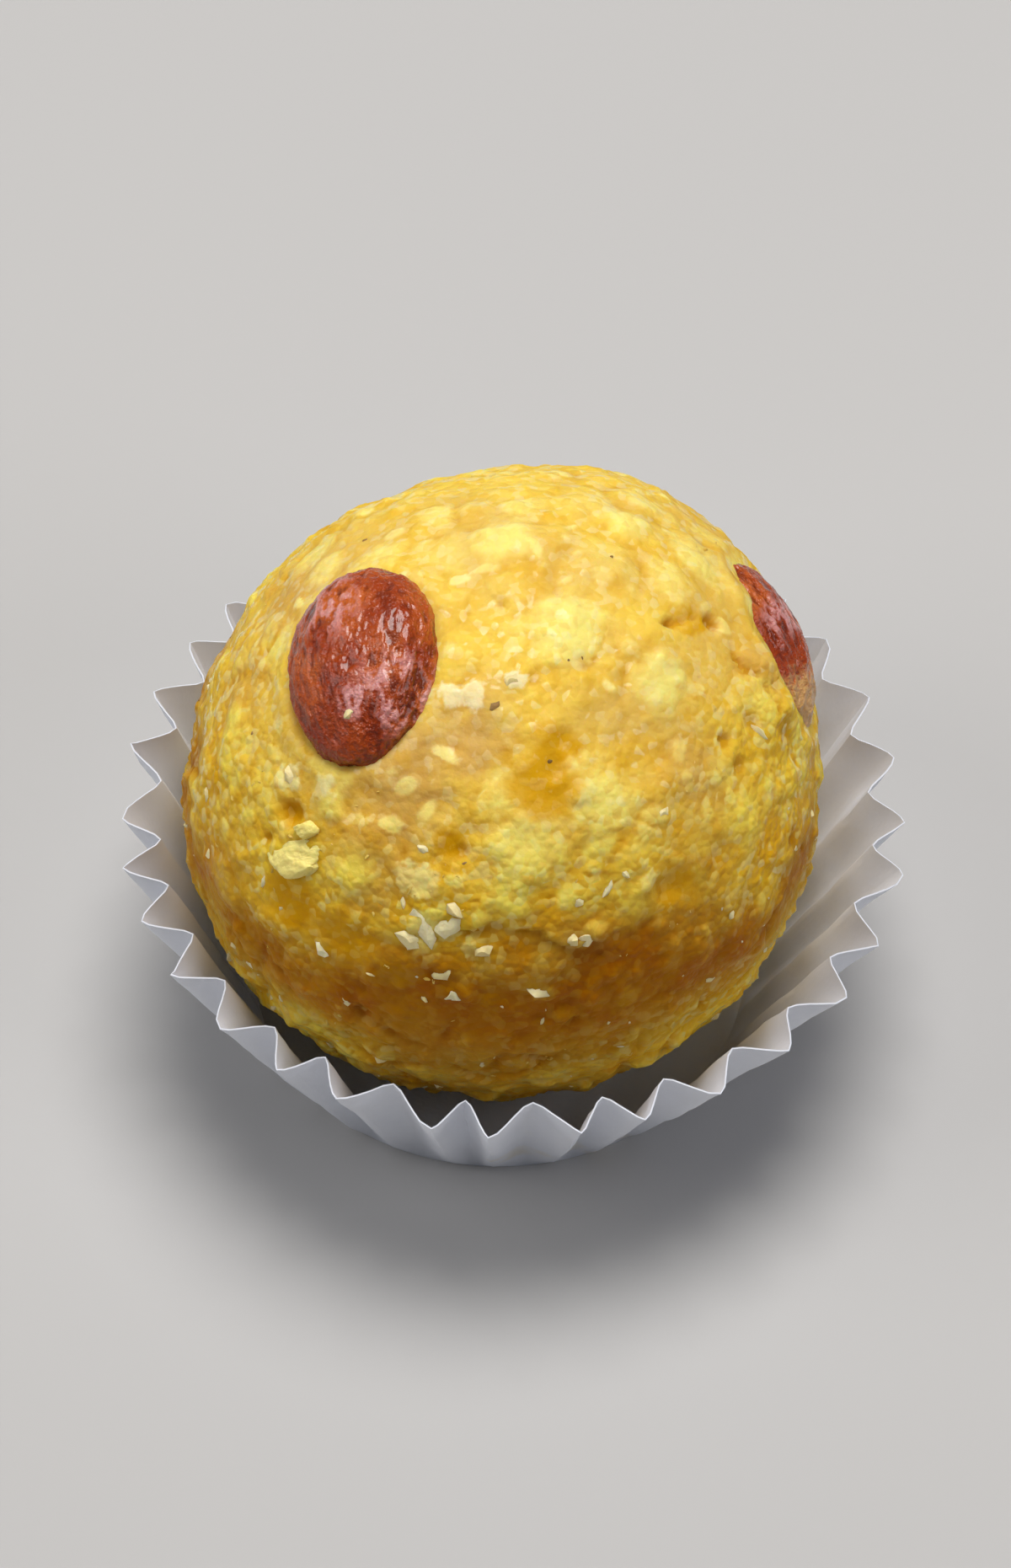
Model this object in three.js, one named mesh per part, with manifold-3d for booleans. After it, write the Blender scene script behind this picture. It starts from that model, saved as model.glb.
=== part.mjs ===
// A boondi ladoo in its fluted paper case: fried gram-flour drops pressed with syrup
// into a ball, two raisins set in the ball, and the paper case that it stands in.
// Millimetres, +Z up. The origin is the middle of the case's underside.

import * as THREE from "three";
import { mergeVertices } from "three/addons/utils/BufferGeometryUtils.js";
import Module from "manifold-3d";

const wasm = await Module();
wasm.setup();

// Ball of pressed drops
const BALL_WIDTH = 42;
const BALL_HEIGHT = 40;
const FOOT_CUT = 1.2; // height lost where the ball sits flat
const BALL_FACETS = 18; // cuts along each edge of the starting icosahedron
const SWELLS = [
  { fromTop: 58, round: 53, rise: 1 },
  { fromTop: 52, round: 98, rise: -0.8 },
  { fromTop: 58, round: 135, rise: -0.3 },
  { fromTop: 68, round: 165, rise: -0.8 },
  { fromTop: 12, round: 100, rise: -0.3 },
  { fromTop: 85, round: 5, rise: -0.2 },
  { fromTop: 110, round: 285, rise: -0.2 },
];
const SWELL_REACH = 30; // degrees

// Boondi drops that show on the ball
const DROP_COUNT = 300;
const DROP_RADIUS = [2.2, 3.3];
const DROP_RISE = [0.15, 0.5];
const DROP_STRAY = 0.45; // share of the spacing that a drop may stray by
const DROP_SEED = 77;

// Raisins: place on the ball and turn in degrees, sizes in millimetres
const RAISINS = [
  { name: "raisin_top", fromTop: 29, round: 209, turn: 55, long: 13, wide: 10.4, thick: 6.4, sunk: 1.2 },
  { name: "raisin_side", fromTop: 62, round: 12, turn: -52, long: 12.6, wide: 8.8, thick: 7, sunk: 2.4 },
];
const RAISIN_FACETS = 4;
const RAISIN_TAPER = 0.08; // how much narrower the pointed end is
const FOLD_COUNT = 7;
const FOLD_DEPTH = 0.06; // share of the radius

// Paper case
const CASE_BASE_RADIUS = 16.5;
const CASE_WALL = 18.4; // length of the wall, measured up its slope
const CASE_FLARE = 25.5; // degrees from upright
const FLARE_LEAN = 3.5; // degrees more on the side that the case leans to
const FLARE_SIDE = 10; // degrees round from +X
const FLUTES = 32;
const FLUTE_COLUMNS = 4; // ridge, flank, groove, flank
const FLUTE_STRAY = 0.14; // share of the spacing that a ridge may stray by
const WALL_ROWS = 5;
const PAPER = 0.45; // thickness along the radius
const CASE_SEED = 19;

const GAP = 0.3; // clear space between one piece and the next

// Colours
const BOONDI_COLOUR = 0xdcae45;
const RAISIN_COLOUR = 0x8a3d22;
const PAPER_COLOUR = 0xe6e4e2;

const radians = THREE.MathUtils.degToRad;
const lerp = THREE.MathUtils.lerp;

// Repeatable draws between 0 and 1
function seededDraws(seed) {
  let state = seed;
  return () => {
    state = (Math.imul(state, 1664525) + 1013904223) >>> 0;
    return state / 4294967296;
  };
}

// Direction on the ball, from degrees down from the top and degrees round from +X
function towards({ fromTop, round }) {
  const slope = radians(fromTop);
  const spin = radians(round);
  return new THREE.Vector3(
    Math.sin(slope) * Math.cos(spin),
    Math.sin(slope) * Math.sin(spin),
    Math.cos(slope),
  );
}

// Closed mesh without the class's own normals and texture coordinates
function welded(geometry) {
  geometry.deleteAttribute("normal");
  geometry.deleteAttribute("uv");
  return mergeVertices(geometry, 1e-4);
}

function solidOf(geometry) {
  const vertProperties = new Float32Array(geometry.attributes.position.array);
  const triVerts = new Uint32Array(geometry.index.array);
  return new wasm.Manifold(new wasm.Mesh({ numProp: 3, vertProperties, triVerts }));
}

function geometryOf(solid) {
  const mesh = solid.getMesh();
  const geometry = new THREE.BufferGeometry();
  geometry.setAttribute("position", new THREE.BufferAttribute(new Float32Array(mesh.vertProperties), 3));
  geometry.setIndex(new THREE.BufferAttribute(new Uint32Array(mesh.triVerts), 1));
  return geometry;
}

function piece(name, geometry, color, roughness) {
  geometry.computeVertexNormals();
  const material = new THREE.MeshStandardMaterial({ color, roughness, metalness: 0, flatShading: true });
  const mesh = new THREE.Mesh(geometry, material);
  mesh.name = name;
  return mesh;
}

// Ball measures that follow
const BALL_RADIUS = BALL_WIDTH / 2;
const BALL_HALF_HEIGHT = (BALL_HEIGHT + FOOT_CUT) / 2;
const FOOT_LEVEL = PAPER + GAP;
const BALL_MIDDLE = new THREE.Vector3(0, 0, FOOT_LEVEL + BALL_HALF_HEIGHT - FOOT_CUT);
const MEAN_RISE = (DROP_RISE[0] + DROP_RISE[1]) / 2;

// Drops spread evenly over the ball, each strayed a little from its place
function boondiDrops() {
  const draw = seededDraws(DROP_SEED);
  const spacing = Math.sqrt((4 * Math.PI) / DROP_COUNT);
  const goldenAngle = Math.PI * (3 - Math.sqrt(5));
  const drops = [];
  for (let i = 0; i < DROP_COUNT; i++) {
    const height = 1 - (2 * (i + 0.5)) / DROP_COUNT;
    const reach = Math.sqrt(1 - height * height);
    const stray = spacing * DROP_STRAY * 2;
    const middle = new THREE.Vector3(
      reach * Math.cos(goldenAngle * i) + stray * (draw() - 0.5),
      reach * Math.sin(goldenAngle * i) + stray * (draw() - 0.5),
      height + stray * (draw() - 0.5),
    ).normalize();
    const radius = lerp(DROP_RADIUS[0], DROP_RADIUS[1], draw());
    const rise = lerp(DROP_RISE[0], DROP_RISE[1], draw());
    drops.push({ middle, radius, rise });
  }
  return drops;
}

// Broad swells and hollows left by the hand that rolled the ball
function swellAt(way) {
  const reach = radians(SWELL_REACH);
  let total = 0;
  for (const swell of SWELLS) {
    const angle = way.angleTo(towards(swell));
    total += swell.rise * Math.exp(-((angle / reach) ** 2));
  }
  return total;
}

// How far the tallest drop stands out of the ball in one direction
function dropRiseAt(way, drops) {
  let tallest = 0;
  for (const drop of drops) {
    const off = (way.angleTo(drop.middle) * BALL_RADIUS) / drop.radius;
    tallest = Math.max(tallest, drop.rise * (1 - off * off));
  }
  return tallest;
}

function ballGeometry() {
  const drops = boondiDrops();
  const geometry = welded(new THREE.IcosahedronGeometry(1, BALL_FACETS));
  const position = geometry.attributes.position;
  const way = new THREE.Vector3();
  for (let i = 0; i < position.count; i++) {
    way.fromBufferAttribute(position, i).normalize();
    const out = swellAt(way) + dropRiseAt(way, drops) - MEAN_RISE;
    const x = way.x * (BALL_RADIUS + out);
    const y = way.y * (BALL_RADIUS + out);
    const z = BALL_MIDDLE.z + way.z * (BALL_HALF_HEIGHT + out);
    position.setXYZ(i, x, y, Math.max(z, FOOT_LEVEL));
  }
  return geometry;
}

// Raisin lying along X with its pointed end at -X; extra grows it on all sides
function raisinGeometry({ long, wide, thick }, foldDepth, extra) {
  const geometry = welded(new THREE.IcosahedronGeometry(1, RAISIN_FACETS));
  const position = geometry.attributes.position;
  const way = new THREE.Vector3();
  for (let i = 0; i < position.count; i++) {
    way.fromBufferAttribute(position, i).normalize();
    const around = Math.atan2(way.z, way.y);
    const fade = 1 - way.x * way.x;
    const fold = 1 - foldDepth * fade * (0.5 + 0.5 * Math.cos(FOLD_COUNT * around + 2 * way.x));
    const slim = fold * (1 + RAISIN_TAPER * way.x);
    position.setXYZ(
      i,
      way.x * (long / 2 + extra),
      way.y * slim * (wide / 2 + extra),
      way.z * slim * (thick / 2 + extra),
    );
  }
  return geometry;
}

// Where a raisin lies: flat on the ball, sunk into it, its blunt end turned from the uphill way
function raisinSeat(raisin) {
  const out = towards(raisin);
  const uphill = new THREE.Vector3(0, 0, 1).addScaledVector(out, -out.z).normalize();
  const along = uphill.applyAxisAngle(out, radians(raisin.turn));
  const across = new THREE.Vector3().crossVectors(out, along);
  const seat = new THREE.Matrix4().makeBasis(along, across, out);
  const level = BALL_RADIUS + swellAt(out) - raisin.sunk;
  seat.setPosition(BALL_MIDDLE.clone().addScaledVector(out, level));
  return seat;
}

function raisinPiece(raisin) {
  const mesh = piece(raisin.name, raisinGeometry(raisin, FOLD_DEPTH, 0), RAISIN_COLOUR, 0.35);
  mesh.applyMatrix4(raisinSeat(raisin));
  return mesh;
}

// Ball with a pocket for each raisin; a crumb that a pocket cuts loose is left off
function ladooPiece() {
  let ball = solidOf(ballGeometry());
  for (const raisin of RAISINS) {
    const pocket = raisinGeometry(raisin, 0, GAP);
    pocket.applyMatrix4(raisinSeat(raisin));
    ball = ball.subtract(solidOf(pocket));
  }
  const bodies = ball.decompose();
  bodies.sort((one, other) => other.volume() - one.volume());
  return piece("boondi_ball", geometryOf(bodies[0]), BOONDI_COLOUR, 0.75);
}

// Fluted wall: the paper keeps its length, so the flutes deepen as the wall stays narrower
// than the flat round it was pressed from
function paperCasePiece() {
  const draw = seededDraws(CASE_SEED);
  const spots = [];
  for (let flute = 0; flute < FLUTES; flute++) {
    const place = (2 * Math.PI * (flute + FLUTE_STRAY * 2 * (draw() - 0.5))) / FLUTES;
    spots.push({ place, ridge: lerp(0.85, 1.15, draw()), groove: lerp(0.85, 1.1, draw()) });
  }

  // Lathe gives the net of the case; rows run out along the underside, up the wall and back inside
  const rows = [0, 0.6].map((base) => ({ inside: false, base, up: 0 }));
  for (let row = 0; row <= WALL_ROWS; row++) {
    rows.push({ inside: false, base: 1, up: row / WALL_ROWS });
  }
  rows.push(...rows.map((row) => ({ ...row, inside: true })).reverse());
  const columns = FLUTES * FLUTE_COLUMNS;
  const outline = rows.map((row) => new THREE.Vector2(row.base + row.up, row.inside ? 1 : 0));
  const geometry = new THREE.LatheGeometry(outline, columns);
  const position = geometry.attributes.position;

  for (let i = 0; i < position.count; i++) {
    const row = rows[i % rows.length];
    const column = Math.floor(i / rows.length) % columns;
    const flute = Math.floor(column / FLUTE_COLUMNS);
    const step = (column % FLUTE_COLUMNS) / FLUTE_COLUMNS;
    const here = spots[flute];
    const next = spots[(flute + 1) % FLUTES];
    const nextPlace = next.place + (flute + 1 === FLUTES ? 2 * Math.PI : 0);
    const angle = lerp(here.place, nextPlace, step);
    const zigzag = step === 0 ? here.ridge : step === 0.5 ? -here.groove : 0;

    const flare = radians(CASE_FLARE + FLARE_LEAN * Math.cos(angle - radians(FLARE_SIDE)));
    const slope = CASE_WALL * row.up;
    const mean = CASE_BASE_RADIUS * row.base + slope * Math.sin(flare);
    const flat = CASE_BASE_RADIUS * row.base + slope;
    const pitch = (2 * Math.PI * mean) / FLUTES;
    const depth = row.up > 0 ? (pitch / 2) * Math.sqrt((flat / mean) ** 2 - 1) : 0;
    const radius = mean + (depth / 2) * zigzag - (row.inside ? PAPER * row.base : 0);
    const lift = row.inside ? PAPER * (1 - row.up) : 0;
    position.setXYZ(i, radius * Math.cos(angle), radius * Math.sin(angle), slope * Math.cos(flare) + lift);
  }

  // Each quad inside is cut along the same corners as the one behind it, so both faces fold alike
  const index = geometry.index;
  for (let k = 0; k < index.count; k += 6) {
    const corner = index.getX(k);
    if (rows[corner % rows.length].inside) {
      index.setX(k + 2, index.getX(k + 3));
      index.setX(k + 5, corner);
    }
  }
  return piece("paper_case", welded(geometry), PAPER_COLOUR, 0.8);
}

const ladoo = new THREE.Group();
ladoo.name = "boondi_ladoo";
ladoo.add(ladooPiece());
RAISINS.forEach((raisin) => ladoo.add(raisinPiece(raisin)));
ladoo.add(paperCasePiece());

export default ladoo;
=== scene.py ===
"""Boondi ladoo in its fluted paper case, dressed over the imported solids."""

import math
from functools import reduce

import bpy
import numpy as np
from mathutils import Matrix, Vector, noise
from mathutils.bvhtree import BVHTree


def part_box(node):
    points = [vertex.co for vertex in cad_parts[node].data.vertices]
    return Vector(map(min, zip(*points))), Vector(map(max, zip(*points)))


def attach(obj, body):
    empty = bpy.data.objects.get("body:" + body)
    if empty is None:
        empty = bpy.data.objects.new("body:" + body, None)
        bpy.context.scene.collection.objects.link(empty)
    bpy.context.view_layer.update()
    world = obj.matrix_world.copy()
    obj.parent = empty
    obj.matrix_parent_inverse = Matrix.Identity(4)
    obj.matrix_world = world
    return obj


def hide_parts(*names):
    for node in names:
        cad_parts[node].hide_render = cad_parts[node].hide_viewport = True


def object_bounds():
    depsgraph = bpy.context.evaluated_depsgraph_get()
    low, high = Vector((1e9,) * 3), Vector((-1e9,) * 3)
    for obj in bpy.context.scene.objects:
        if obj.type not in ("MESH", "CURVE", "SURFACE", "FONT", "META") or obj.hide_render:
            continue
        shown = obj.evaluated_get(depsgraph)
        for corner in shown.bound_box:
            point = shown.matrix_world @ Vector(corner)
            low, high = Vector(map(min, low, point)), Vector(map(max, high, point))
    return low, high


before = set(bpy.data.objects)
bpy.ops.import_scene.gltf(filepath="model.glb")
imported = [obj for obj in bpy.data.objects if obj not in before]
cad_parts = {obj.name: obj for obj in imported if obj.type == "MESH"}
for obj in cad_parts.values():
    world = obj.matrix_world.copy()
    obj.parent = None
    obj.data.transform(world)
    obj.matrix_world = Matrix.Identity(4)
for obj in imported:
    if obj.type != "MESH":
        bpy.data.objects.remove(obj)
CAD_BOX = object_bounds()

MM = 0.001
TURN = 2 * math.pi
NOISE_SEED = 4
noise.seed_set(NOISE_SEED)


def in_mm(*rows):
    """Rows of millimetres as rows of metres."""
    return tuple(tuple(value * MM for value in row) for row in rows)


# Draws, by the same rule as in the solids
DRAW_FACTOR = 1664525
DRAW_SHIFT = 1013904223
DRAW_SPAN = 2**32

# Ball of pressed drops, as in the solids
BALL_RADIUS = 21 * MM
BALL_HALF_HEIGHT = 20.6 * MM
FOOT_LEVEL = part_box("boondi_ball")[0].z
FOOT_CUT = 1.2 * MM
BALL_MIDDLE = Vector((0, 0, FOOT_LEVEL + BALL_HALF_HEIGHT - FOOT_CUT))
MIDDLE = np.array(BALL_MIDDLE)
HALF_SIZES = np.array((BALL_RADIUS, BALL_RADIUS, BALL_HALF_HEIGHT))

# Broad swells and hollows: degrees from the top, degrees round, rise
SWELLS = (
    (58, 53, 1.0 * MM),
    (52, 98, -0.8 * MM),
    (58, 135, -0.3 * MM),
    (68, 165, -0.8 * MM),
    (12, 100, -0.3 * MM),
    (85, 5, -0.2 * MM),
    (110, 285, -0.2 * MM),
)
SWELL_REACH = math.radians(30)

# Boondi drops that show on the ball, as in the solids
DROP_COUNT = 300
DROP_RADIUS = (2.2 * MM, 3.3 * MM)
DROP_RISE = (0.15 * MM, 0.5 * MM)
MEAN_RISE = sum(DROP_RISE) / 2
DROP_STRAY = 0.45
DROP_SEED = 77

# Shape of a drop in shares of its radius, and the share of it that shows between its neighbours
DROP_THICK = (0.55, 0.75)
DROP_LONG = (0.85, 1.1)
DROP_WIDE = 0.9
DROP_DENT = 0.22
DROP_SHOWN = (0.6, 0.9)

# Lumps of broken boondi between the drops, sunk and stretched by shares of their radius
LUMP_COUNT = 2200
LUMP_RADIUS = (0.35 * MM, 0.85 * MM)
LUMP_SUNK = (0.45, 0.9)
LUMP_STRETCH = (0.75, 1.25)
LUMP_DENT = 0.3
LUMP_SEED = 5

# Side on which a lump is dented, and the turn within which lumps and bits are spun
DENT_SIDE = (0.6, 0.5, 0.62)
SPIN = 6.28

# Cuts of the plain balls, the skin over them, and its uneven relief: size, detail, height
CORE_CUTS = 6
DROP_CUTS = 3
LUMP_CUTS = 2
BALL_VOXEL = 0.3 * MM
BALL_SMOOTHING = 4
SMOOTHING_SHARE = 0.5
PASTE_RELIEF = ((5 * MM, 1, 0.4 * MM), (0.95 * MM, 2, 0.1 * MM))

# Pressing by the hand: how far drops still rise, the deepest gap, and where it stays crumbly
PRESSED_RISE = (0.26 * MM, 0.55 * MM)
DEEPEST_GAP = 1 * MM
CRUMBLY_HEIGHTS = (-0.45, 0.55)
CRUMBLY_SHARE = (0.15, 1)

# Granules packed side by side: size, rise, bend and stray of their rows, width, share of the rise
GRANULE = 1.5 * MM
GRANULE_RISE = (0.1 * MM, 0.36 * MM)
GRANULE_BEND = 0.45
GRANULE_STRAY = 0.7
GRANULE_WIDE = 0.75
GRANULE_SHARE = (0.35, 1)
GRANULE_SEAM = 3
TINT_STEP = 7.3

# Seams between drops, where they lie near enough and where they are open
SEAM_DEPTH = 0.36 * MM
SEAM_GAP = (0.02, 0.45)
SEAM_OPEN = (-0.25, 0.35)
SEAM_SHARE = (0.1, 1)

# Uneven edges: fineness, shift and strength of each layer of noise
PATCH_EDGE = ((14, 3, 0.5), (40, 6, 0.35))
PIT_EDGE = ((17, 0, 0.35), (48, 4, 0.25))
CRUMBLY_EDGE = ((3.2, 1, 0.35),)
SEAM_EDGE = ((4.5, 9, 1),)
DASH_EDGE = ((16, 21, 1),)
LEDGE_EDGE = ((7, 2, 1.6 * MM), (21, 5, 0.6 * MM))
STEP_EDGE = ((6, 8, 1.4 * MM), (19, 4, 0.6 * MM))

# Patches: where their edge fades, in reaches, how rough it is, and what counts as far away
SPOT_EDGE = (0.35, 1.25)
PALE_ROUGH = 0.7
SUGARY_ROUGH = 1.4
FAR = 9.0

# Lines that wander: fineness, shift along each axis, reach
CRACK_WANDER = (22, (1, 7, 13), 0.012)
DROP_WANDER = (9, (2, 11, 17), 0.035)

# Pits in the surface: seen right, seen up, radius, depth
PITS = in_mm(
    (3.3, 1.0, 0.7, 0.16),
    (4.0, 2.6, 1.3, 0.12),
    (-13.1, -1.9, 0.8, 0.5),
    (11.0, 10.1, 0.5, 0.4),
    (13.5, 10.2, 0.6, 0.6),
    (-2.4, -4.4, 0.6, 0.3),
    (-12.0, -7.6, 1.6, 0.15),
    (11.0, -6.6, 1.2, 0.25),
)

# Smaller pits, more of them low down: lowest in degrees from the top, radius, depth in radii
SMALL_PITS = 70
PIT_LOWEST = 130
PIT_CROWDING = 0.6
SMALL_PIT_RADIUS = (0.3 * MM, 0.9 * MM)
SMALL_PIT_DEPTH = (0.25, 0.65)
PIT_SEED = 31

# Patches soaked in syrup: seen right, seen up, reach
SYRUP_PATCHES = in_mm(
    (3.6, 2.2, 1.6),
    (2.7, 0.2, 2.5),
    (-13.0, -7.7, 2.3),
    (-9.6, -10.2, 2.4),
    (-13.2, -2.0, 1.0),
    (-2.8, -3.8, 1.2),
    (11.2, -6.8, 2.0),
    (12.4, 10.3, 1.3),
)

# Dry beige patches: seen right, seen up, reach
DRY_PATCHES = in_mm(
    (-13.5, 12.5, 4.5),
    (-17.0, 6.5, 3.5),
    (-6.0, 0.6, 3.6),
    (-1.5, 2.4, 2.6),
    (16.2, 7.2, 2.4),
    (12.5, 0.5, 3.0),
    (-8.0, -7.0, 2.6),
    (-6.5, -2.6, 3.4),
    (5.0, -10.5, 2.2),
)

# White sugary patches where crumbs cling: seen right, seen up, reach
SUGARY_PATCHES = in_mm(
    (-2.2, 5.6, 1.3),
    (0.9, 6.4, 0.7),
    (-4.2, -9.3, 1.4),
    (-5.3, -10.2, 0.8),
    (-1.6, -10.7, 0.9),
    (5.3, -10.2, 0.5),
    (2.8, -13.5, 0.9),
    (-13.3, 0.4, 0.9),
    (-10.9, -0.4, 1.0),
    (-5.2, -6.0, 1.5),
    (9.4, -6.0, 1.2),
)
SUGARY_RISE = 0.2 * MM

# Pale drops that stand a little proud: seen right, seen up, radius
PALE_DROPS = in_mm(
    (1.8, -4.2, 2.8),
    (0.6, -7.2, 1.8),
    (6.4, -1.1, 2.3),
    (-9.2, -5.6, 1.7),
    (8.6, -7.6, 1.8),
    (10.2, 6.2, 2.3),
    (8.0, 16.4, 1.6),
    (4.4, 9.7, 2.9),
    (0.2, 15.6, 2.4),
    (-17.1, 3.6, 1.5),
    (-10.6, -1.4, 1.2),
)
PALE_RISE = 0.26 * MM

# Paste pushed up over the edge of the raisin at the side: seen right, seen up, reach, rise
PASTE_LIPS = in_mm(
    (16.6, 7.0, 1.6, 0.7),
    (17.6, 4.4, 1.8, 1.0),
    (15.2, 11.6, 1.3, 0.4),
)

# Crack in the paste beside the raisin at the side, as spots seen right and up
CRACK = in_mm(
    (10.4, 10.0),
    (13.2, 10.5),
    (14.5, 9.6),
    (14.9, 8.0),
    (16.4, 6.2),
    (17.3, 4.4),
)
CRACK_WIDTH = 0.24 * MM
CRACK_DEPTH = 0.5 * MM
CRACK_DASHES = (-0.25, 0.2)

# Ledge across the lower front: seen height of its edge, its slope, where it starts and ends
LEDGE_UP = -9.3 * MM
LEDGE_SLOPE = -0.1
LEDGE_START = (-5.5 * MM, -1.5 * MM)
LEDGE_END = (3.5 * MM, 9.5 * MM)
LEDGE_LIP = 0.5 * MM
LEDGE_DEPTH = 0.45 * MM
LEDGE_FADE = 3.5 * MM

# Step at the left edge: the paste above it is pressed further in, less and less higher up
STEP_SPOT = (-20.9 * MM, 0.1 * MM)
STEP_REACH = 7.5 * MM
STEP_SIDES = (0.3, 1.0)
STEP_LIP = 0.6 * MM
STEP_DEPTH = 0.75 * MM
STEP_FADE = 4.0 * MM

# Paste round a raisin, where it is smoothed down and its low rim, in shares of the raisin's size
SETTLED_EDGE = (0.95, 1.45)
SETTLED_DROP = 0.15 * MM
RIM_RISE = 0.3 * MM
RIM_PLACE = 1.12
RIM_WIDTH = 0.12

# Rounds of evening out that find the hollows, and what counts as a full hollow and loss
HOLLOW_ROUNDS = 14
FULL_HOLLOW = 0.25 * MM
FULL_LOSS = 0.6 * MM

# Raisins: degrees from the top, degrees round, turn, then long, wide, thick, sunk and smeared
RAISINS = {
    "raisin_top": (29, 209, 55, 13.0 * MM, 10.4 * MM, 6.4 * MM, 1.2 * MM, 0),
    "raisin_side": (62, 12, -52, 12.6 * MM, 8.8 * MM, 7.0 * MM, 2.4 * MM, 1),
}
RAISIN_CUTS = 7
RAISIN_TAPER = 0.08
FOLD_COUNT = 7
FOLD_DEPTH = 0.045
FOLD_TWIST = 2

# Skin: wrinkles with their strength and fineness along and across, dents, and smeared paste
WRINKLES = ((0.7, 300, 700), (0.45, 700, 1500), (0.3, 900, 2800))
RIDGE_RULE = (1.0, 2.2, 3, 1.0, 1.4)
WRINKLE_RISE = 0.052 * MM
WRINKLE_LIMIT = 2
DENT_DEPTH = 0.22 * MM
DENT_FINENESS = 2.6
SKIN_BACK = 0.08 * MM
SMEAR_START = 0.1
SMEAR_STRENGTH = 1.6

# Painted glints on the crests of the raisins' skin: seen right, seen up, reach
PAINTED_GLINT_PATCHES = in_mm(
    (-6.3, 5.4, 2.9),
    (-8.8, 4.9, 1.3),
    (-10.8, 11.0, 2.4),
    (18.0, 10.4, 1.6),
)

# Painted shade over the lower ends of the raisins: seen right, seen up, reach
SHADED_ENDS = in_mm((-10.0, 2.4, 4.0), (-13.0, 5.0, 2.4))
SKIN_PATCH_EDGE = (0.4, 1.2)

# Paper case, as in the solids
CASE_BASE_RADIUS = 16.5 * MM
CASE_WALL = 18.4 * MM
CASE_FLARE = 25.5
FLARE_LEAN = 3.5
FLARE_SIDE = math.radians(10)
FLUTES = 32
FLUTE_STRAY = 0.14
RIDGE_SHARE = (0.85, 1.15)
GROOVE_SHARE = (0.85, 1.1)
FOLD_SHARPNESS = 0.87
CASE_SEED = 19

# Paper: thickness, rows and columns of its mesh, rings of its base, its folds and small creases
PAPER = 0.1 * MM
FLUTE_COLUMNS = 10
WALL_ROWS = 14
BASE_RINGS = (1.2 * MM, 5 * MM, 5 * MM)
FLUTE_LEAN = 0.018
LEAN_STEPS = (1.7, 1.2, 3.1)
CREASES = ((260, 0.16 * MM), (620, 0.05 * MM))
CREASE_START = 2.5
PAPER_EDGE = math.radians(50)

# Bits that lie on the ball: a few kinds, how each is broken, and how far from raisins and pits
BIT_KINDS = 4
BIT_CUTS = 2
BIT_DENT = 0.25
BIT_SHIFT = (3.7, 1.3, -2.1)
BIT_PUSHES = ((1.3, 0.45),)
BIT_BREAKS = 5
BIT_BREAK_BAND = (0.95, -0.3)
BIT_BREAK_PLACE = (0.4, 0.7)
BIT_BREAK_FLAT = 0.92
BIT_SEED = 3
BIT_STRETCH = (0.8, 1.2)
BIT_EDGE = math.radians(40)
RAY_START = 30 * MM
RAISIN_CLEAR = 0.56
PIT_CLEAR = 0.8 * MM

# Crumbs stuck on the ball and one on a raisin: seen right, seen up, size
SHOWN_CRUMBS = in_mm(
    (-13.2, 0.3, 0.95),
    (0.8, 6.3, 0.6),
    (-4.6, -9.6, 1.4),
    (-3.5, -9.0, 1.2),
    (-2.9, -8.3, 0.9),
    (-5.5, -10.1, 0.9),
    (2.8, -13.5, 1.25),
    (4.6, -10.4, 0.65),
    (5.6, -10.2, 0.6),
    (-0.9, -10.8, 0.7),
    (6.8, -7.0, 0.7),
    (4.9, -7.8, 0.6),
    (7.9, -6.0, 0.5),
    (10.3, -2.0, 0.5),
    (16.7, 3.0, 0.8),
    (-8.9, 3.75, 0.6),
    (-4.8, -4.3, 0.5),
    (-3.6, -12.4, 0.7),
    (-6.1, -7.7, 0.55),
)

# Bits drawn over the ball: seed, count, heights between which they lie, size, how few are
# large, flatness, sunk share
CRUMBS = (11, 130, (0.35, -0.5), (0.16 * MM, 0.76 * MM), 3, 0.75, 0.4)
GRAINS = (23, 900, (0.75, -0.8), (0.16 * MM, 0.45 * MM), 2, 0.8, 0.6)
SPECKS = (41, 26, (0.95, -0.7), (0.1 * MM, 0.24 * MM), 2, 0.45, 0.2)

# Grains gather in clusters, and the drawn specks keep to the back
CLUSTER_FINENESS = 5.5
CLUSTER_LEVEL = 0.08
SPECK_FRONT = -0.1

# Broken drops that stand out: seen right, seen up, then wide, high, thick, turn and tint
BROKEN_DROPS = (
    (-13.2 * MM, -5.0 * MM, 2.25 * MM, 1.2 * MM, 1.0 * MM, 0.6, 0.8),
    (-12.0 * MM, -3.2 * MM, 1.0 * MM, 0.6 * MM, 0.6 * MM, 0.9, 0.6),
)
BREAKS = 6
BREAK_BAND = (0.8, 0.0)
BREAK_PLACE = (0.7, 1.0)
BREAK_VOXEL = 0.06
BREAK_SMOOTHING = 8
BREAK_SHIFT = (5.3, 2.9, -1.7)
BREAK_PUSHES = ((0.8, 0.2), (3.1, 0.08), (8.3, 0.035))
BREAK_SUNK = 0.35
BREAK_SEED = 6

# Bits of ground cardamom: seen right, seen up, size
SHOWN_SPECKS = in_mm(
    (3.25, 1.15, 0.22),
    (-0.3, 4.6, 0.4),
    (5.3, 7.7, 0.13),
    (4.4, 7.5, 0.11),
    (-16.0, 3.0, 0.16),
    (7.3, 14.4, 0.2),
    (-2.2, -5.3, 0.18),
)

# Camera: height above level, distance and lens of the photograph, and where it aims
CAMERA_RISE = math.radians(52.4)
CAMERA_DISTANCE = 0.40
CAMERA_LENS = 142
CAMERA_SENSOR = 36
CAMERA_NEAR = 10 * MM
AIM_RIGHT = 0.4 * MM
AIM_DROP = 1 * MM

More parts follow.
